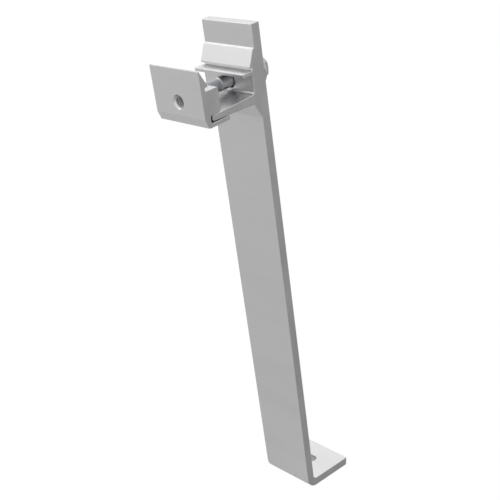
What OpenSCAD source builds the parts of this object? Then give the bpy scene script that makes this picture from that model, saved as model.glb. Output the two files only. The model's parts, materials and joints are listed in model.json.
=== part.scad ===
// Back leg of a tilted solar panel frame, with its rail clamp.
// The foot lies flat on z = 0 with its bolt hole on the origin, and the leg leans towards -Y.
// The leg and the jaw are drawn as outlines of [forward, down, corner radius], measured from the
// leg's top back edge: forward from its back face, and down along it.

/* [Leg] */
// Width of the leg and the jaw, the length they are sawn to
leg_w = 38; // [24:1:80]
// Length of the leg along its front face, from the bend's sharp corner to the top
leg_l = 326.5; // [200:0.5:800]
// Thickness of the leg and the foot
plate_t = 6; // [5:0.1:7]
// Lean of the leg from square to the foot
tilt = 10; // [0:1:20]
// Inside radius of the bend
bend_r = 4; // [2:0.5:8]
// Corner radius of the outlines
edge_r = 0.35; // [0.2:0.05:0.5]

/* [Foot] */
// Length of the foot, from the bend's sharp corner
foot_l = 41.8; // [36:0.2:80]
// Hole for the foot's bolt
foot_hole_d = 9; // [6:0.5:12]
// Distance from the hole's centre to the foot's free end
foot_hole_in = 18.4; // [10:0.2:20]

/* [Rail slot] */
// Distance from the leg's top down to the rail's seat
seat_drop = 24.6; // [20:0.2:40]
// Clear width between the slot's floor in the leg and the one in the jaw
rail_w = 36.2; // [30:0.2:60]
// Height of the slot that takes the rail's flange
slot_h = 1.6; // [1:0.1:3]
// Thickness of the leg behind the slot
slot_wall = 9.2; // [8.4:0.1:9.6]
// How far the wedge overhangs the slot
wedge_lip = 2.1; // [1:0.1:3]
// Height of the wedge's nose
nose_h = 0.8; // [0.6:0.1:1.5]
// Height of the wedge, without its nose
wedge_h = 9.1; // [7:0.1:12]
// Thickness of the leg at the wedge's top
wedge_top = 7.2; // [7.1:0.1:8]

/* [Clamp arm] */
// Thickness of the leg behind the bolt
boss_t = 9.8; // [9.7:0.1:12]
// How far the short ledge under the rail stands out from the boss
ledge_l = 7; // [3:0.5:10]
// Thickness of the short ledge
ledge_t = 2; // [1.5:0.1:3]
// Distance from the rail's seat down to the arm's root
arm_drop = 13.1; // [12.6:0.1:20]
// Fall of the arm's top, from root to tip
arm_fall = 1; // [0:0.1:2]
// Thickness of the arm at its root
arm_root_t = 5.5; // [4:0.1:8]
// Thickness of the arm at its tip
arm_tip_t = 3; // [2:0.1:4]
// Radius at the foot of the boss, on top of the arm
arm_fillet_r = 2; // [0.5:0.1:3]
// Thickness of the gusset under the arm
gusset_t = 1.5; // [0.5:0.1:4]
// Length of the gusset down the leg
gusset_l = 9.2; // [4:0.2:20]

/* [Jaw] */
// Depth of the jaw's front wall behind the slot's floor
jaw_lip = 3.1; // [2:0.1:6]
// Overhang of the jaw's horn over the rail's flange
horn_lip = 2.5; // [1:0.1:2.8]
// Height of the horn above the slot
horn_h = 9.4; // [6:0.2:12]
// Height of the slot in the jaw
jaw_slot_h = 1.9; // [1:0.1:3]
// Depth of the jaw's threaded block, back from the slot's floor
block_l = 9.3; // [8.5:0.1:16]
// Wall between the jaw's front and its hook slot
jaw_web = 4.3; // [3:0.1:6]
// Thickness of the hook
hook_t = 2.4; // [1.5:0.1:4]
// Reach of the hook under the arm
hook_l = 13.7; // [8:0.1:18]
// Gap between the arm's tip and the end of the hook slot
arm_gap = 1.2; // [1.2:0.1:4]
// Gap between the jaw's block and the arm
block_play = 0.1; // [0.1:0.05:0.4]
// Gap between the hook and the arm
hook_play = 0.25; // [0.15:0.05:0.6]
// Height of the chamfer at the jaw's front, above the hook's underside
toe_h = 5.4; // [3:0.1:8]
// Depth of that chamfer
toe_in = 1.9; // [0.5:0.1:2.6]
// Height at which the chamfer turns under
toe_turn_h = 0.4; // [0.2:0.1:1.5]
// Distance from the jaw's front to the flat of its underside
toe_flat_in = 3.6; // [2.8:0.1:5]
// Thickness of the horn's tip
horn_tip_t = 0.6; // [0.4:0.1:1]
// Depth of the lead-in at the top of the block
block_top_in = 0.7; // [0.5:0.1:2]
// Height of the lead-in at the top of the block
block_top_h = 1.8; // [0.6:0.1:2.4]
// Depth of the lead-in at the foot of the block
block_foot_in = 1.6; // [0.5:0.1:2.4]
// Height of the lead-in at the foot of the block
block_foot_h = 1.3; // [0.5:0.1:2]
// Radius of the hook's end and of its slot's corners
hook_end_r = 1.1; // [0.5:0.1:1.6]

/* [Bolt] */
// Distance from the rail's seat down to the bolt's axis
bolt_drop = 7.2; // [6.6:0.1:8]
// Diameter of the bolt's plain shank
shank_d = 8; // [6:0.1:8.4]
// How much thinner the threaded end is than the shank
thread_less = 0.1; // [0:0.05:0.3]
// Length of the bolt under its head
bolt_l = 55; // [50:1:58]
// Length of the bolt's thread
thread_l = 26; // [22:1:34]
// Width of the hexagon head across its flats
head_af = 13; // [11:0.5:16]
// Height of the head
head_h = 5.3; // [4:0.1:8]
// Height of the round face under the head
head_face_h = 0.4; // [0.2:0.1:0.6]
// How much narrower that face is than the head
head_face_less = 1.4; // [0.6:0.1:2]
// Chamfer at the bolt's end
end_chamfer = 1; // [0.4:0.1:1.6]
// Radial clearance of the bolt in the jaw's thread
thread_play = 0.05; // [0.02:0.01:0.09]
// Radial clearance of the bolt in the leg
leg_play = 0.5; // [0.1:0.1:1]

/* [Spring and washer] */
// Diameter of the washer under the head
washer_d = 20.6; // [16:0.2:24]
// Thickness of the washer
washer_t = 1.6; // [1:0.1:3]
// Radial clearance of the bolt in the washer
washer_play = 0.2; // [0.1:0.1:0.5]
// Length of the spring as it sits between the leg and the washer
spring_l = 9.3; // [8.5:0.1:12]
// Diameter of the spring's wire
wire_d = 1.2; // [0.8:0.1:1.4]
// Radial clearance of the spring round the bolt
spring_play = 0.9; // [0.3:0.1:1.5]
// Turns of the spring that are free to close
free_turns = 3; // [2:0.5:4]
// Closed turns at each end of the spring
end_turns = 0.75; // [0.5:0.25:1]

/* [Hidden] */

aluminium = "#c4c6c7";
steel = "#8f9296";

corner_y = foot_hole_in - foot_l;
chord_error = 0.006;
cut = 1;

wedge_f = slot_wall + wedge_lip;
slot_drop = seat_drop - slot_h;
nose_drop = slot_drop - nose_h;
wedge_drop = nose_drop - wedge_h;
ledge_f = boss_t + ledge_l;

notch_f = slot_wall + rail_w;
jaw_f = notch_f + jaw_lip;
block_f = notch_f - block_l;
web_f = jaw_f - jaw_web;
arm_f = web_f - arm_gap;
hook_f = web_f - hook_l;

arm_top = seat_drop + arm_drop;
arm_root_bottom = arm_top + arm_root_t;
arm_tip_bottom = arm_top + arm_fall + arm_tip_t;
gusset_f = boss_t + gusset_t;

jaw_slot_drop = seat_drop - jaw_slot_h;
horn_f = notch_f - horn_lip;
horn_drop = jaw_slot_drop - horn_h;
block_bottom = arm_top_at(block_f) - block_play;
hook_top = arm_bottom_at(hook_f) + hook_play;
hook_bottom = hook_top + hook_t;

shank_r = shank_d / 2;
thread_r = shank_r - thread_less;
jaw_hole_r = thread_r + thread_play;
leg_hole_r = shank_r + leg_play;
washer_hole_r = shank_r + washer_play;
bolt_axis_drop = seat_drop + bolt_drop;
head_f = -spring_l - washer_t;
head_face_d = head_af - head_face_less;

coil_r = shank_r + spring_play + wire_d / 2;
end_pitch = 1.08 * wire_d;
free_pitch = (spring_l - wire_d - 2 * end_turns * end_pitch) / free_turns;
coil_steps = 20;
wire_sides = 8;

// Height of the arm's top and underside, measured down from the leg's top, at a distance forward
function arm_top_at(f) = arm_top + arm_fall * (f - boss_t) / (arm_f - boss_t);
function arm_bottom_at(f) = arm_root_bottom
    + (arm_tip_bottom - arm_root_bottom) * (f - gusset_f) / (arm_f - gusset_f);

// A point of the foot, back from the bend's sharp corner and up from its underside, as
// [forward, down, radius] on the leg
function on_foot(back, up, r) = [plate_t - cos(tilt) * back - sin(tilt) * up,
    leg_l + sin(tilt) * back - cos(tilt) * up, r];

function turned(p, a) = [p.x * cos(a) - p.y * sin(a), p.x * sin(a) + p.y * cos(a)];

// Points of an arc of radius r that rounds the corner b between a and c
function corner_arc(a, b, c, r) =
    let (u = (a - b) / norm(a - b))
    let (v = (c - b) / norm(c - b))
    let (half = acos(u * v) / 2)
    let (centre = b + (u + v) / norm(u + v) * r / sin(half))
    let (from = b + u * r / tan(half) - centre)
    let (to = b + v * r / tan(half) - centre)
    let (turn = atan2(from.x * to.y - from.y * to.x, from * to))
    let (steps = ceil(abs(turn) / (2 * acos(1 - chord_error / r))))
    [for (i = [0:steps]) centre + turned(from, turn * i / steps)];

function xy(p) = [p.x, p.y];

// An outline of [forward, down, radius] with its corners rounded
function rounded(outline) =
    let (n = len(outline))
    [for (i = [0:n - 1])
        each corner_arc(xy(outline[(i + n - 1) % n]), xy(outline[i]), xy(outline[(i + 1) % n]), outline[i].z)];

// Moves children from the leg's own frame, with its origin on the top back edge, to the foot's
module on_leg() {
    translate([0, corner_y, 0])
    rotate([tilt, 0, 0])
    translate([0, plate_t, leg_l])
    children();
}

// Turns a solid's +Z to point forward along the bolt's axis, starting at a distance forward
module on_bolt(f) {
    on_leg()
    translate([0, -f, -bolt_axis_drop])
    rotate([90, 0, 0])
    children();
}

// An outline of [forward, down, radius], sawn to the leg's width
module extrusion(outline) {
    on_leg()
    rotate([90, 0, 90])
    linear_extrude(leg_w, center = true)
    rotate(180)
    polygon(rounded(outline));
}

// One extrusion: plate, wedge, rail slot, ledge, boss, arm, gusset, bend and foot
module leg_profile() {
    extrusion([
        [0, 0, edge_r],
        [plate_t, 0, edge_r],
        [plate_t, wedge_drop, edge_r],
        [wedge_top, wedge_drop, edge_r],
        [wedge_f, nose_drop, edge_r],
        [wedge_f, slot_drop, nose_h / 3],
        [slot_wall, slot_drop, edge_r],
        [slot_wall, seat_drop, edge_r],
        [ledge_f, seat_drop, edge_r],
        [ledge_f, seat_drop + ledge_t, edge_r],
        [boss_t, seat_drop + ledge_t, edge_r],
        [boss_t, arm_top, arm_fillet_r],
        [arm_f, arm_top + arm_fall, 2 * edge_r],
        [arm_f, arm_tip_bottom, 2 * edge_r],
        [gusset_f, arm_root_bottom, edge_r],
        [plate_t, arm_root_bottom + gusset_l, 3 * edge_r],
        [plate_t, leg_l, bend_r + plate_t],
        on_foot(foot_l, 0, 2 * edge_r),
        on_foot(foot_l, plate_t, edge_r),
        on_foot(plate_t * (1 - sin(tilt)) / cos(tilt), plate_t, bend_r),
    ]);
}

module leg() {
    color(aluminium)
    difference() {
        leg_profile();
        translate([0, 0, -cut])
        cylinder(plate_t + 2 * cut, d = foot_hole_d, $fn = 64);
        on_bolt(-cut)
        cylinder(boss_t + 2 * cut, r = leg_hole_r, $fn = 64);
    }
}

module clamp_jaw() {
    color(aluminium)
    difference() {
        extrusion([
            [jaw_f - horn_tip_t, horn_drop, horn_tip_t / 3],
            [jaw_f, horn_drop, horn_tip_t / 3],
            [jaw_f, hook_bottom - toe_h, 2 * edge_r],
            [jaw_f - toe_in, hook_bottom - toe_turn_h, edge_r],
            [jaw_f - toe_flat_in, hook_bottom, edge_r],
            [hook_f, hook_bottom, hook_end_r],
            [hook_f, hook_top, edge_r],
            [web_f, hook_top, hook_end_r],
            [web_f, block_bottom, hook_end_r],
            [block_f + block_foot_in, block_bottom, edge_r],
            [block_f, block_bottom - block_foot_h, edge_r],
            [block_f, seat_drop + block_top_h, edge_r],
            [block_f + block_top_in, seat_drop, edge_r],
            [notch_f, seat_drop, edge_r],
            [notch_f, jaw_slot_drop, edge_r],
            [horn_f, jaw_slot_drop, edge_r],
        ]);
        on_bolt(block_f - cut)
        cylinder(block_l + jaw_lip + 2 * cut, r = jaw_hole_r, $fn = 64);
    }
}

// The hexagon head, chamfered towards its back, with a round face under it
module bolt_head() {
    head_r = head_af / sqrt(3);
    intersection() {
        translate([0, 0, -head_h])
        rotate(30)
        cylinder(head_h - head_face_h, r = head_r, $fn = 6);
        translate([0, 0, -head_h])
        cylinder(head_h, r1 = head_af / 2, r2 = head_af / 2 + head_h * sqrt(3), $fn = 64);
    }
    translate([0, 0, -head_h / 2])
    cylinder(head_h / 2, d = head_face_d, $fn = 64);
}

module clamp_bolt() {
    color(steel)
    on_bolt(head_f)
    union() {
        bolt_head();
        rotate_extrude($fn = 64)
        polygon([[0, -head_h / 2], [shank_r, -head_h / 2], [shank_r, bolt_l - thread_l],
            [thread_r, bolt_l - thread_l], [thread_r, bolt_l - end_chamfer],
            [thread_r - end_chamfer, bolt_l], [0, bolt_l]]);
    }
}

module spring_washer() {
    color(steel)
    on_bolt(head_f)
    difference() {
        cylinder(washer_t, d = washer_d, $fn = 96);
        translate([0, 0, -cut])
        cylinder(washer_t + 2 * cut, r = washer_hole_r, $fn = 64);
    }
}

// Height of the wire's centre after a number of turns: closed turns at both ends, open ones between
function coil_z(turns) = wire_d / 2
    + end_pitch * min(turns, end_turns)
    + free_pitch * max(0, min(turns - end_turns, free_turns))
    + end_pitch * max(0, turns - end_turns - free_turns);

function coil_ring(turns) = [for (j = [0:wire_sides - 1])
    let (a = 360 * j / wire_sides)
    let (r = coil_r + wire_d / 2 * cos(a))
    [r * cos(360 * turns), r * sin(360 * turns), coil_z(turns) + wire_d / 2 * sin(a)]];

// The spring pushes the washer and the bolt's head away from the leg
module clamp_spring() {
    turns = free_turns + 2 * end_turns;
    rings = round(turns * coil_steps);
    points = [for (i = [0:rings]) each coil_ring(turns * i / rings)];
    sides = [for (i = [0:rings - 1]) for (j = [0:wire_sides - 1])
        let (a = i * wire_sides + j)
        let (b = i * wire_sides + (j + 1) % wire_sides)
        [a, b, b + wire_sides, a + wire_sides]];
    start = [for (j = [wire_sides - 1:-1:0]) j];
    end = [for (j = [0:wire_sides - 1]) rings * wire_sides + j];
    color(steel)
    on_bolt(-spring_l)
    polyhedron(points, concat(sides, [start, end]));
}

leg();
clamp_jaw();
clamp_bolt();
spring_washer();
clamp_spring();
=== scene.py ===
import json
import math
import bmesh
import bpy
from mathutils import Matrix, Vector


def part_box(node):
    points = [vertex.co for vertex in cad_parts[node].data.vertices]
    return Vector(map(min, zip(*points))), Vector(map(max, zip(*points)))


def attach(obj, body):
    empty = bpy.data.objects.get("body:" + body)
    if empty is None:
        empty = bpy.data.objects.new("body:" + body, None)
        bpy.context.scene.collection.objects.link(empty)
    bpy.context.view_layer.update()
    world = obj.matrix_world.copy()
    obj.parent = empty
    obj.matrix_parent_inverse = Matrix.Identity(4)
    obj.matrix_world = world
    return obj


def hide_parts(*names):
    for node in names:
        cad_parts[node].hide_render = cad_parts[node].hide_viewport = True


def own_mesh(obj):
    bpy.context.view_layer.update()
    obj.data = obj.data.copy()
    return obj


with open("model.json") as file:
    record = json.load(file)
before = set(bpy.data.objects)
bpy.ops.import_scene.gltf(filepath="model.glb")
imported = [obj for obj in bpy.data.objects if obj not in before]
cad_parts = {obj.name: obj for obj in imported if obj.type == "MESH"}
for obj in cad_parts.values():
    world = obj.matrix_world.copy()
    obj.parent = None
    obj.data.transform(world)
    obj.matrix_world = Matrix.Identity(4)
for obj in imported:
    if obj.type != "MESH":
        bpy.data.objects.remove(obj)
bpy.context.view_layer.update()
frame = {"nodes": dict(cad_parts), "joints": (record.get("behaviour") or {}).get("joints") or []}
print("frame loaded:", sorted(frame["nodes"]))

mm = 0.001
joints = {joint["name"]: joint for joint in frame["joints"]}

# The bolt's own frame in millimetres, with its origin on the face under the head:
# +Z runs forward along the bolt, +X along the rail and +Y up the leg
forward = Vector(joints["bolt_turn"]["axis"])
headFace = Vector(joints["bolt_turn"]["pos_m"])
sideways = Vector((1, 0, 0))
upTheLeg = forward.cross(sideways)
boltFrame = Matrix((sideways, upTheLeg, forward)).transposed().to_4x4()
boltFrame.translation = headFace
boltFrame = boltFrame @ Matrix.Scale(mm, 4)


# Small helpers that stand for what is done by hand in the viewport

def selectOnly(piece):
    bpy.ops.object.select_all(action="DESELECT")
    piece.hide_set(False)
    piece.select_set(True)
    bpy.context.view_layer.objects.active = piece


def editing(piece, on):
    if on:
        selectOnly(piece)
    bpy.ops.object.mode_set(mode="EDIT" if on else "OBJECT")


def pick(piece, kind, test):
    # selects the vertices, edges or faces of the mesh in edit mode that pass the test
    bpy.ops.mesh.select_mode(type=kind)
    bpy.ops.mesh.select_all(action="DESELECT")
    shape = bmesh.from_edit_mesh(piece.data)
    parts = {"VERT": shape.verts, "EDGE": shape.edges, "FACE": shape.faces}[kind]
    for part in [part for part in parts if test(part)]:
        part.select_set(True)
    bmesh.update_edit_mesh(piece.data)


def rise(edge):
    return abs(edge.verts[0].co.z - edge.verts[1].co.z)


def newest(name):
    piece = bpy.context.active_object
    piece.name = name
    piece.data.name = name
    return piece


def combine(piece, tool, operation):
    selectOnly(piece)
    boolean = piece.modifiers.new("combine", "BOOLEAN")
    boolean.operation = operation
    boolean.solver = "EXACT"
    boolean.object = tool
    bpy.ops.object.modifier_apply(modifier=boolean.name)
    bpy.data.objects.remove(tool, do_unlink=True)


def rod(name, radius, low, high, sides=96):
    bpy.ops.mesh.primitive_cylinder_add(vertices=sides, radius=radius, depth=high - low,
                                        location=(0, 0, (low + high) / 2))
    piece = newest(name)
    bpy.ops.object.transform_apply(location=True, rotation=False, scale=False)
    return piece


def cone(name, lowRadius, highRadius, low, high, sides=96):
    bpy.ops.mesh.primitive_cone_add(vertices=sides, radius1=lowRadius, radius2=highRadius, depth=high - low,
                                    location=(0, 0, (low + high) / 2))
    piece = newest(name)
    bpy.ops.object.transform_apply(location=True, rotation=False, scale=False)
    return piece


def placeOnBolt(piece):
    # what is modelled in the bolt's own frame goes to its place on the leg
    selectOnly(piece)
    piece.matrix_world = boltFrame
    bpy.ops.object.transform_apply(location=True, rotation=True, scale=True)


def smoothOver(piece, angle):
    # rounds the shading over small angles and keeps the large faces flat
    selectOnly(piece)
    bpy.ops.object.shade_smooth_by_angle(angle=math.radians(angle))
    weighted = piece.modifiers.new("flats stay flat", "WEIGHTED_NORMAL")
    weighted.keep_sharp = True
    bpy.ops.object.modifier_apply(modifier=weighted.name)


# Materials

def nodeOf(tree, kind, **values):
    node = tree.nodes.new(kind)
    for key, value in values.items():
        if key in node.inputs:
            node.inputs[key].default_value = value
        else:
            setattr(node, key, value)
    return node


def streaks(tree, stretch, scale, detail=3.0):
    # noise drawn out along an axis, read from Object coordinates
    place = nodeOf(tree, "ShaderNodeTexCoord")
    mapping = nodeOf(tree, "ShaderNodeMapping", Scale=stretch)
    noise = nodeOf(tree, "ShaderNodeTexNoise", Scale=scale, Detail=detail, Roughness=0.6)
    tree.links.new(place.outputs["Object"], mapping.inputs["Vector"])
    tree.links.new(mapping.outputs["Vector"], noise.inputs["Vector"])
    return noise.outputs["Fac"]


def spread(tree, source, low, high):
    # noise lies mostly between 0.3 and 0.7, and this stretches it from low to high
    ranged = nodeOf(tree, "ShaderNodeMapRange")
    ranged.inputs["From Min"].default_value = 0.3
    ranged.inputs["From Max"].default_value = 0.7
    ranged.inputs["To Min"].default_value = low
    ranged.inputs["To Max"].default_value = high
    tree.links.new(source, ranged.inputs["Value"])
    return ranged.outputs["Result"]


def metal(name, look):
    material = bpy.data.materials.new(name)
    material.use_nodes = True
    tree = material.node_tree
    shader = tree.nodes["Principled BSDF"]
    shader.inputs["Metallic"].default_value = look["metallic"]

    fine = streaks(tree, look["stretch"], look["fineScale"])
    broad = streaks(tree, look["broadStretch"], look["broadScale"], detail=2.0)

    tint = nodeOf(tree, "ShaderNodeMix", data_type="RGBA")
    tint.inputs[6].default_value = (*look["dark"], 1)
    tint.inputs[7].default_value = (*look["light"], 1)
    tree.links.new(spread(tree, broad, 0, 1), tint.inputs[0])
    tree.links.new(tint.outputs[2], shader.inputs["Base Color"])

    tree.links.new(spread(tree, fine, *look["roughness"]), shader.inputs["Roughness"])

    bump = nodeOf(tree, "ShaderNodeBump", Strength=look["bump"], Distance=look["bumpDepth"])
    tree.links.new(fine, bump.inputs["Height"])
    tree.links.new(bump.outputs["Normal"], shader.inputs["Normal"])
    return material


extrudedLook = {
    "metallic": 1.0,
    "dark": (0.71, 0.71, 0.713),
    "light": (0.75, 0.75, 0.753),
    "roughness": (0.34, 0.42),
    "stretch": (0.02, 1, 1),        # the die's lines run along the extrusion, from saw cut to saw cut
    "fineScale": 1600,
    "broadStretch": (0.15, 1, 1),
    "broadScale": 40,
    "bump": 0.25,
    "bumpDepth": 0.00002,
}
# the saw cuts: the same alloy as the extrusion, with the blade's marks in roughness and bump, and a darker
# colour that is painted shade on the ends
sawnShadedLook = {
    "metallic": 1.0,
    "dark": (0.41, 0.41, 0.413),
    "light": (0.47, 0.47, 0.473),
    "roughness": (0.40, 0.50),
    "stretch": (1, 1, 0.05),        # the blade's marks
    "fineScale": 1300,
    "broadStretch": (1, 1, 0.4),
    "broadScale": 90,
    "bump": 0.35,
    "bumpDepth": 0.00003,
}
steelLook = {
    "metallic": 1.0,
    "dark": (0.44, 0.445, 0.465),
    "light": (0.50, 0.505, 0.525),
    "roughness": (0.32, 0.42),
    "stretch": (1, 1, 1),
    "fineScale": 900,
    "broadStretch": (1, 1, 1),
    "broadScale": 120,
    "bump": 0.15,
    "bumpDepth": 0.00001,
}
springLook = {
    "metallic": 1.0,
    "dark": (0.46, 0.465, 0.48),
    "light": (0.54, 0.545, 0.56),
    "roughness": (0.25, 0.36),
    "stretch": (1, 1, 1),
    "fineScale": 1500,
    "broadStretch": (1, 1, 1),
    "broadScale": 200,
    "bump": 0.2,
    "bumpDepth": 0.00001,
}
extrudedAluminium = metal("extruded aluminium", extrudedLook)
# the darker colour of the sawn ends is painted shade
sawnAluminiumPaintedShade = metal("sawn aluminium painted shade", sawnShadedLook)
boltSteel = metal("bolt steel", steelLook)
springSteel = metal("spring steel", springLook)
print("materials ready")


# The leg and the jaw: extrusions sawn to the same width, their ends lightly deburred

extrusion = {
    "sawChamfer": 0.15 * mm,
    "rimChamfer": 0.2 * mm,
    "boreGrowth": 0.01 * mm,        # takes the old facets of a hole away when it is cut smooth
    "boreSides": 96,
    "smoothAngle": 28,
    "weld": 0.002 * mm,
    "flatAngle": 0.4,               # faces that turn by less than this become one
    "nearCut": 0.01 * mm,           # what lies this close to a saw cut is on it
    "nearRim": 0.03 * mm,           # the same for the rim of a hole
}


def copyOfNode(node, name):
    source = frame["nodes"][node]
    piece = source.copy()
    piece.data = source.data.copy()
    piece.name = name
    piece.data.name = name
    piece.parent = None
    for key in [key for key in piece.keys() if key.startswith("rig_")]:
        del piece[key]
    bpy.context.scene.collection.objects.link(piece)
    piece.data.materials.clear()
    selectOnly(piece)
    if piece.data.has_custom_normals:
        bpy.ops.mesh.customdata_custom_splitnormals_clear()
    editing(piece, True)
    bpy.ops.mesh.select_all(action="SELECT")
    bpy.ops.mesh.remove_doubles(threshold=extrusion["weld"])
    bpy.ops.mesh.dissolve_limited(angle_limit=math.radians(extrusion["flatAngle"]))
    editing(piece, False)
    return piece


def cutBore(piece, centre, axis, radius, drillLength):
    # cuts a smooth hole over a faceted one
    turn = Vector((0, 0, 1)).rotation_difference(Vector(axis)).to_euler()
    cutRadius = radius + extrusion["boreGrowth"]
    bpy.ops.mesh.primitive_cylinder_add(vertices=extrusion["boreSides"], radius=cutRadius, depth=drillLength,
                                        location=centre, rotation=turn)
    combine(piece, newest("drill"), "DIFFERENCE")


def breakRims(piece, centre, axis, radius):
    # a fine chamfer on both rims of a smooth hole
    centre = Vector(centre)
    axis = Vector(axis).normalized()
    cutRadius = radius + extrusion["boreGrowth"]

    def onRim(edge):
        for corner in edge.verts:
            arm = corner.co - centre
            if abs((arm - axis * arm.dot(axis)).length - cutRadius) > extrusion["nearRim"]:
                return False
        run = edge.verts[1].co - edge.verts[0].co
        squareFaces = [face for face in edge.link_faces if abs(face.normal.dot(axis)) > 0.9]
        return abs(run.normalized().dot(axis)) < 0.5 and len(squareFaces) == 1

    editing(piece, True)
    pick(piece, "EDGE", onRim)
    bpy.ops.mesh.bevel(offset=extrusion["rimChamfer"], segments=1, affect="EDGES", clamp_overlap=False)
    editing(piece, False)


def deburrEnds(piece, halfWidth):
    # the perimeter of both saw cuts gets a fine chamfer, and the cuts a darker material: its blade's marks
    # are real, its darker colour is painted shade
    def onCut(point):
        return abs(abs(point.x) - halfWidth) < extrusion["nearCut"]

    editing(piece, True)
    pick(piece, "EDGE", lambda edge: all(onCut(corner.co) for corner in edge.verts))
    bpy.ops.mesh.bevel(offset=extrusion["sawChamfer"], segments=1, affect="EDGES", clamp_overlap=False)
    pick(piece, "FACE", lambda face: abs(face.normal.x) > 0.99 and onCut(face.calc_center_median()))
    piece.data.materials.append(extrudedAluminium)
    piece.data.materials.append(sawnAluminiumPaintedShade)
    piece.active_material_index = 1
    bpy.ops.object.material_slot_assign()
    editing(piece, False)


# The leg

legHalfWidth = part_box("leg")[1].x
footHole = {"radius": 4.5 * mm, "drillLength": 20 * mm}
legBore = {
    "radius": 4.5 * mm,
    "drillLength": 24 * mm,
    "drillMiddle": 15.8 * mm,       # forward from the face under the head
}

leg = copyOfNode("leg", "leg_extrusion")
cutBore(leg, (0, 0, 0), (0, 0, 1), footHole["radius"], footHole["drillLength"])
cutBore(leg, headFace + forward * legBore["drillMiddle"], forward, legBore["radius"], legBore["drillLength"])
breakRims(leg, (0, 0, 0), (0, 0, 1), footHole["radius"])
breakRims(leg, headFace, forward, legBore["radius"])
deburrEnds(leg, legHalfWidth)
smoothOver(leg, extrusion["smoothAngle"])
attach(leg, "leg")
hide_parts("leg")
print("leg:", len(leg.data.polygons), "faces")


# The thread, in millimetres: one pitch of its profile, carried round by a Screw modifier
# and trimmed square at both ends

thread = {
    "pitch": 1.25,
    "start": 29.0,
    "crestRadius": 3.9,
    "rootRadius": 3.28,
    "crestFlat": 0.19,
    "flankAngle": 30,
    "steps": 48,
    "spareTurns": 3,                # wound past both ends, then trimmed away
    "spareBelow": 1.5,              # how many of them start below the low end
    "weld": 0.0005,
    "nutTip": 3.36,
    "nutWall": 3.99,
    "nutTipHalf": 0.14,
}
flankSlope = math.tan(math.radians(thread["flankAngle"]))
flankDepth = thread["crestRadius"] - thread["rootRadius"]
rootFlat = thread["pitch"] - thread["crestFlat"] - 2 * flankDepth * flankSlope


def wind(name, profile, closed, low, high):
    # profile: radius and height of each point, wound on a right-hand helix between the heights low and high
    turns = math.ceil((high - low) / thread["pitch"]) + thread["spareTurns"]
    first = low - thread["spareBelow"] * thread["pitch"]
    first = thread["start"] + math.floor((first - thread["start"]) / thread["pitch"]) * thread["pitch"]
    bpy.ops.mesh.primitive_plane_add(size=1)
    piece = newest(name)
    editing(piece, True)
    bpy.ops.mesh.select_mode(type="VERT")
    bpy.ops.mesh.select_all(action="SELECT")
    bpy.ops.mesh.merge(type="CENTER")
    bpy.ops.transform.translate(value=(profile[0][0], 0, first + profile[0][1]))
    for before, after in zip(profile, profile[1:]):
        step = (after[0] - before[0], 0, after[1] - before[1])
        bpy.ops.mesh.extrude_region_move(TRANSFORM_OT_translate={"value": step})
    if closed:
        bpy.ops.mesh.select_all(action="SELECT")
        bpy.ops.mesh.edge_face_add()
        bpy.ops.mesh.select_mode(type="FACE")
        bpy.ops.mesh.select_all(action="SELECT")
        bpy.ops.mesh.delete(type="ONLY_FACE")
    editing(piece, False)
    selectOnly(piece)
    screw = piece.modifiers.new("wind", "SCREW")
    screw.axis = "Z"
    screw.screw_offset = thread["pitch"]
    screw.iterations = turns
    screw.steps = screw.render_steps = thread["steps"]
    screw.use_merge_vertices = True
    screw.merge_threshold = thread["weld"]
    bpy.ops.object.modifier_apply(modifier=screw.name)
    editing(piece, True)
    for height, upper in ((low, False), (high, True)):
        bpy.ops.mesh.select_all(action="SELECT")
        bpy.ops.mesh.bisect(plane_co=(0, 0, height), plane_no=(0, 0, 1), use_fill=True,
                            clear_inner=not upper, clear_outer=upper)
    bpy.ops.mesh.select_all(action="SELECT")
    bpy.ops.mesh.remove_doubles(threshold=thread["weld"])
    bpy.ops.mesh.normals_make_consistent(inside=False)
    editing(piece, False)
    return piece


# The bolt, in millimetres

bolt = {
    "shankRadius": 4.0,
    "length": 55.0,
    "endChamfer": 1.0,
    "headAcrossFlats": 13.0,
    "headHeight": 5.3,
    "headFaceRadius": 5.8,
    "headFaceHeight": 0.4,
    "headEdge": 0.15,
    "runOut": 0.7,
    "coreInset": 0.02,              # the shank ends this far inside the thread's root
    "threadOverlap": 0.5,           # and the thread starts this far inside the shank, so that the two cross
    "coneOverhang": 1,              # the cone that trims the end starts this far behind the thread
    "smoothAngle": 32,
}
headRadius = bolt["headAcrossFlats"] / 2
headCorner = bolt["headAcrossFlats"] / math.sqrt(3)

boltHead = rod("hex_bolt", headCorner, -bolt["headHeight"], -bolt["headFaceHeight"], 6)
coneFlare = bolt["headHeight"] * math.sqrt(3)
backCone = cone("back cone", headRadius, headRadius + coneFlare, -bolt["headHeight"], 0)
combine(boltHead, backCone, "INTERSECT")
editing(boltHead, True)
pick(boltHead, "EDGE", lambda edge: rise(edge) > 1)
bpy.ops.mesh.bevel(offset=bolt["headEdge"], segments=2, affect="EDGES", clamp_overlap=False)
editing(boltHead, False)

shank = rod("shank", bolt["headFaceRadius"], -bolt["headHeight"] / 2, 0)
editing(shank, True)
pick(shank, "FACE", lambda face: face.normal.z > 0.9)
bpy.ops.mesh.inset(thickness=bolt["headFaceRadius"] - bolt["shankRadius"])
bpy.ops.mesh.extrude_region_move(TRANSFORM_OT_translate={"value": (0, 0, thread["start"])})
bpy.ops.mesh.extrude_region_move(TRANSFORM_OT_translate={"value": (0, 0, bolt["runOut"])})
shrink = (thread["rootRadius"] - bolt["coreInset"]) / bolt["shankRadius"]
bpy.ops.transform.resize(value=(shrink, shrink, 1), center_override=(0, 0, thread["start"] + bolt["runOut"]))
editing(shank, False)
combine(boltHead, shank, "UNION")

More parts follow.
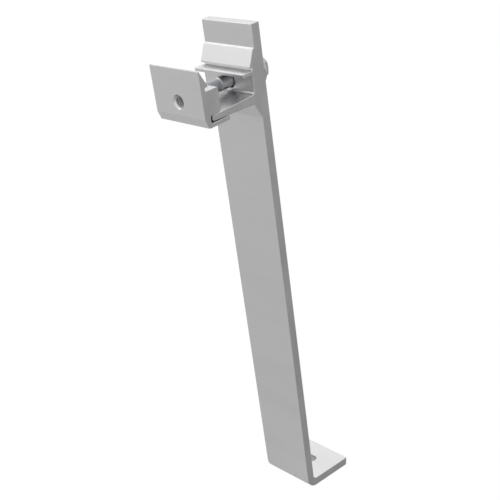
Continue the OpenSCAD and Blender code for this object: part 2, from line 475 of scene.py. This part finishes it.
boltProfile = [
    (thread["rootRadius"], 0),
    (thread["rootRadius"], rootFlat),
    (thread["crestRadius"], (thread["pitch"] + rootFlat - thread["crestFlat"]) / 2),
    (thread["crestRadius"], (thread["pitch"] + rootFlat + thread["crestFlat"]) / 2),
    (thread["rootRadius"], thread["pitch"]),
]
boltThread = wind("bolt thread", boltProfile, False, thread["start"] - bolt["threadOverlap"], bolt["length"])
tipRadius = thread["crestRadius"] - bolt["endChamfer"]
coneStart = thread["start"] - bolt["coneOverhang"]
endCone = cone("end cone", tipRadius + bolt["length"] - coneStart, tipRadius, coneStart, bolt["length"])
combine(boltThread, endCone, "INTERSECT")
combine(boltHead, boltThread, "UNION")
placeOnBolt(boltHead)
boltHead.data.materials.append(boltSteel)
smoothOver(boltHead, bolt["smoothAngle"])
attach(boltHead, "bolt")
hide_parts("clamp_bolt")
print("bolt:", len(boltHead.data.polygons), "faces")


# The jaw, with its tapped hole, in millimetres; low and high lie forward from the face under the bolt's head

jawBore = {
    "radius": 3.95,
    "low": 47.0,
    "high": 59.4,
    "drillLength": 20,
    "setBack": 0.3,                 # from the hole's back rim to the thread
    "leadIn": 1.1,
    # the rest keeps surfaces from coinciding, which a union can't take
    "mouthStep": 0.03,
    "ringStep": 0.1,
    "tipStep": 0.01,
    "rimStep": 0.02,
    "threadOverlap": 0.07,
}
jaw = copyOfNode("clamp_jaw", "jaw_extrusion")
jawMiddle = headFace + forward * ((jawBore["low"] + jawBore["high"]) / 2 * mm)
cutBore(jaw, jawMiddle, forward, jawBore["radius"] * mm, jawBore["drillLength"] * mm)
breakRims(jaw, jawMiddle, forward, jawBore["radius"] * mm)

mouth = jawBore["high"] - extrusion["rimChamfer"] / mm - jawBore["mouthStep"]
throat = mouth - jawBore["leadIn"]
leadIn = rod("lead-in", thread["nutWall"] + jawBore["ringStep"], throat, mouth)
throatRadius = thread["nutTip"] + jawBore["tipStep"]
mouthRadius = jawBore["radius"] + jawBore["rimStep"]
countersink = cone("countersink", throatRadius, mouthRadius, throat, mouth)
combine(leadIn, countersink, "DIFFERENCE")
placeOnBolt(leadIn)
combine(jaw, leadIn, "UNION")

nutFlank = (thread["nutWall"] - thread["nutTip"]) * flankSlope
nutProfile = [
    (thread["nutWall"], rootFlat / 2 - thread["nutTipHalf"] - nutFlank),
    (thread["nutTip"], rootFlat / 2 - thread["nutTipHalf"]),
    (thread["nutTip"], rootFlat / 2 + thread["nutTipHalf"]),
    (thread["nutWall"], rootFlat / 2 + thread["nutTipHalf"] + nutFlank),
]
nutThread = wind("nut thread", nutProfile, True, jawBore["low"] + jawBore["setBack"],
                 throat + jawBore["threadOverlap"])
placeOnBolt(nutThread)
combine(jaw, nutThread, "UNION")
deburrEnds(jaw, legHalfWidth)
smoothOver(jaw, extrusion["smoothAngle"])
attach(jaw, "jaw")
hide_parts("clamp_jaw")
print("jaw:", len(jaw.data.polygons), "faces")


# The washer under the head, in millimetres

washer = {
    "radius": 10.3,
    "holeRadius": 4.2,
    "thickness": 1.6,
    "outerEdge": 0.3,
    "innerEdge": 0.15,
    "sides": 128,
    "near": 0.1,                    # an edge this level and this close to a circle is part of it
    "smoothAngle": 32,
}


def onCircle(edge, radius):
    near = washer["near"]
    return rise(edge) < near and all(abs(corner.co.xy.length - radius) < near for corner in edge.verts)


washerPiece = rod("plain_washer", washer["radius"], 0, washer["thickness"], washer["sides"])
editing(washerPiece, True)
pick(washerPiece, "FACE", lambda face: abs(face.normal.z) > 0.9)
bpy.ops.mesh.inset(thickness=washer["radius"] - washer["holeRadius"])
bpy.ops.mesh.bridge_edge_loops()
pick(washerPiece, "EDGE", lambda edge: onCircle(edge, washer["radius"]))
bpy.ops.mesh.bevel(offset=washer["outerEdge"], segments=3, affect="EDGES", clamp_overlap=False)
pick(washerPiece, "EDGE", lambda edge: onCircle(edge, washer["holeRadius"]))
bpy.ops.mesh.bevel(offset=washer["innerEdge"], segments=2, affect="EDGES", clamp_overlap=False)
bpy.ops.mesh.select_all(action="SELECT")
bpy.ops.mesh.normals_make_consistent(inside=False)
editing(washerPiece, False)
placeOnBolt(washerPiece)
washerPiece.data.materials.append(boltSteel)
smoothOver(washerPiece, washer["smoothAngle"])
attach(washerPiece, "washer")
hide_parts("spring_washer")
print("washer:", len(washerPiece.data.polygons), "faces")


# The spring between the washer and the leg's back, in millimetres

spring = {
    "length": 9.3,
    "wire": 1.2,
    "coilRadius": 5.5,
    "freeTurns": 3,
    "endTurns": 0.75,               # closed turns at each end
    "endRise": 1.08,                # their pitch in wire diameters
    "steps": 40,                    # points a turn
    "roundness": 5,
    "weld": 0.001,
    "smoothAngle": 50,
}


def springHeight(turns):
    endPitch = spring["endRise"] * spring["wire"]
    freePitch = (spring["length"] - spring["wire"] - 2 * spring["endTurns"] * endPitch) / spring["freeTurns"]
    closed = min(turns, spring["endTurns"]) + max(0, turns - spring["endTurns"] - spring["freeTurns"])
    opened = max(0, min(turns - spring["endTurns"], spring["freeTurns"]))
    return spring["wire"] / 2 + closed * endPitch + opened * freePitch


wire = bpy.data.curves.new("coil_spring", "CURVE")
wire.dimensions = "3D"
wire.bevel_depth = spring["wire"] / 2
wire.bevel_resolution = spring["roundness"]
wire.use_fill_caps = True
allTurns = spring["freeTurns"] + 2 * spring["endTurns"]
count = int(allTurns * spring["steps"])
line = wire.splines.new("POLY")
line.points.add(count)
for index, point in enumerate(line.points):
    turns = allTurns * index / count
    angle = math.tau * turns
    point.co = (spring["coilRadius"] * math.cos(angle), spring["coilRadius"] * math.sin(angle),
                washer["thickness"] + springHeight(turns), 1)
coil = bpy.data.objects.new("coil_spring", wire)
bpy.context.scene.collection.objects.link(coil)
selectOnly(coil)
bpy.ops.object.convert(target="MESH")
coil = bpy.context.active_object
editing(coil, True)
bpy.ops.mesh.select_all(action="SELECT")
bpy.ops.mesh.remove_doubles(threshold=spring["weld"])
bpy.ops.mesh.normals_make_consistent(inside=False)
editing(coil, False)
placeOnBolt(coil)
coil.data.materials.append(springSteel)
smoothOver(coil, spring["smoothAngle"])
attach(coil, "leg")
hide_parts("clamp_spring")
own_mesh(coil)
print("spring:", len(coil.data.polygons), "faces")


# Floor, light and camera

studio = {
    "floorSize": 8,
    "floorDrop": 0.05 * mm,
    "floorColour": (0.8, 0.8, 0.8, 1),
    "floorRoughness": 0.9,
    "floorWhite": 1.05,             # strength of the floor's plain white
    "floorToCamera": 0.94,          # share of it that the camera sees; the rest keeps the shadow
    "floorInMetal": 0.31,           # share of it that metal mirrors
    "ambient": 0.35,
}


def whiteShare(tree, toCamera, inMetal):
    # the share of plain white that a ray from the camera sees, straight or through glass, and in a reflection
    path = nodeOf(tree, "ShaderNodeLightPath")
    straight = nodeOf(tree, "ShaderNodeMath", operation="MAXIMUM")
    tree.links.new(path.outputs["Is Camera Ray"], straight.inputs[0])
    tree.links.new(path.outputs["Is Transmission Ray"], straight.inputs[1])
    mirrored = nodeOf(tree, "ShaderNodeMath", operation="MULTIPLY")
    mirrored.inputs[1].default_value = inMetal
    tree.links.new(path.outputs["Is Glossy Ray"], mirrored.inputs[0])
    share = nodeOf(tree, "ShaderNodeMath", operation="MULTIPLY_ADD")
    share.inputs[1].default_value = toCamera
    tree.links.new(straight.outputs[0], share.inputs[0])
    tree.links.new(mirrored.outputs[0], share.inputs[2])
    return share.outputs[0]


bpy.ops.mesh.primitive_plane_add(size=studio["floorSize"], location=(0, 0, -studio["floorDrop"]))
floor = newest("floor")
bpy.ops.object.transform_apply(location=True, rotation=False, scale=False)
floorMaterial = bpy.data.materials.new("pale floor")
floorMaterial.use_nodes = True
tree = floorMaterial.node_tree
shaded = tree.nodes["Principled BSDF"]
shaded.inputs["Base Color"].default_value = studio["floorColour"]
shaded.inputs["Roughness"].default_value = studio["floorRoughness"]
glow = nodeOf(tree, "ShaderNodeEmission", Strength=studio["floorWhite"])
mix = nodeOf(tree, "ShaderNodeMixShader")
tree.links.new(whiteShare(tree, studio["floorToCamera"], studio["floorInMetal"]), mix.inputs[0])
tree.links.new(shaded.outputs[0], mix.inputs[1])
tree.links.new(glow.outputs[0], mix.inputs[2])
tree.links.new(mix.outputs[0], tree.nodes["Material Output"].inputs["Surface"])
floor.data.materials.append(floorMaterial)

world = bpy.data.worlds.new("studio")
bpy.context.scene.world = world
world.use_nodes = True
tree = world.node_tree
tree.nodes["Background"].inputs["Color"].default_value = (1, 1, 1, 1)
level = nodeOf(tree, "ShaderNodeMapRange")
level.inputs["To Min"].default_value = studio["ambient"]
tree.links.new(whiteShare(tree, 1, 1), level.inputs["Value"])
tree.links.new(level.outputs["Result"], tree.nodes["Background"].inputs["Strength"])

lamps = {
    "above_left": {"place": (-1.2, -0.86, 1.6), "aim": (0, -0.06, 0.25), "size": 1.0, "power": 6},
    "back_left": {"place": (-1.3, 1.55, 0.3), "aim": (0, -0.03, 0.1), "size": 1.1, "power": 1.6},
}
for name, lamp in lamps.items():
    light = bpy.data.lights.new(name, "AREA")
    light.size = lamp["size"]
    light.energy = lamp["power"]
    holder = bpy.data.objects.new(name, light)
    bpy.context.scene.collection.objects.link(holder)
    holder.location = lamp["place"]
    holder.rotation_euler = (Vector(lamp["aim"]) - Vector(lamp["place"])).to_track_quat("-Z", "Y").to_euler()
    holder.visible_camera = False

# found from the straight edges of the extrusion in the photograph
cameraView = {
    "place": (0.35647, -0.43599, 0.37759),
    "turn": (69.4545, 0.3040, 43.5079),
    "lens": 65.11,
    "sensor": 36,
    "clipStart": 0.01,
}
camera = bpy.data.objects.new("camera", bpy.data.cameras.new("camera"))
bpy.context.scene.collection.objects.link(camera)
camera.location = cameraView["place"]
camera.rotation_euler = [math.radians(angle) for angle in cameraView["turn"]]
camera.data.lens = cameraView["lens"]
camera.data.sensor_width = cameraView["sensor"]
camera.data.clip_start = cameraView["clipStart"]
bpy.context.scene.camera = camera
bpy.context.scene.view_settings.view_transform = "Standard"
print("studio ready")
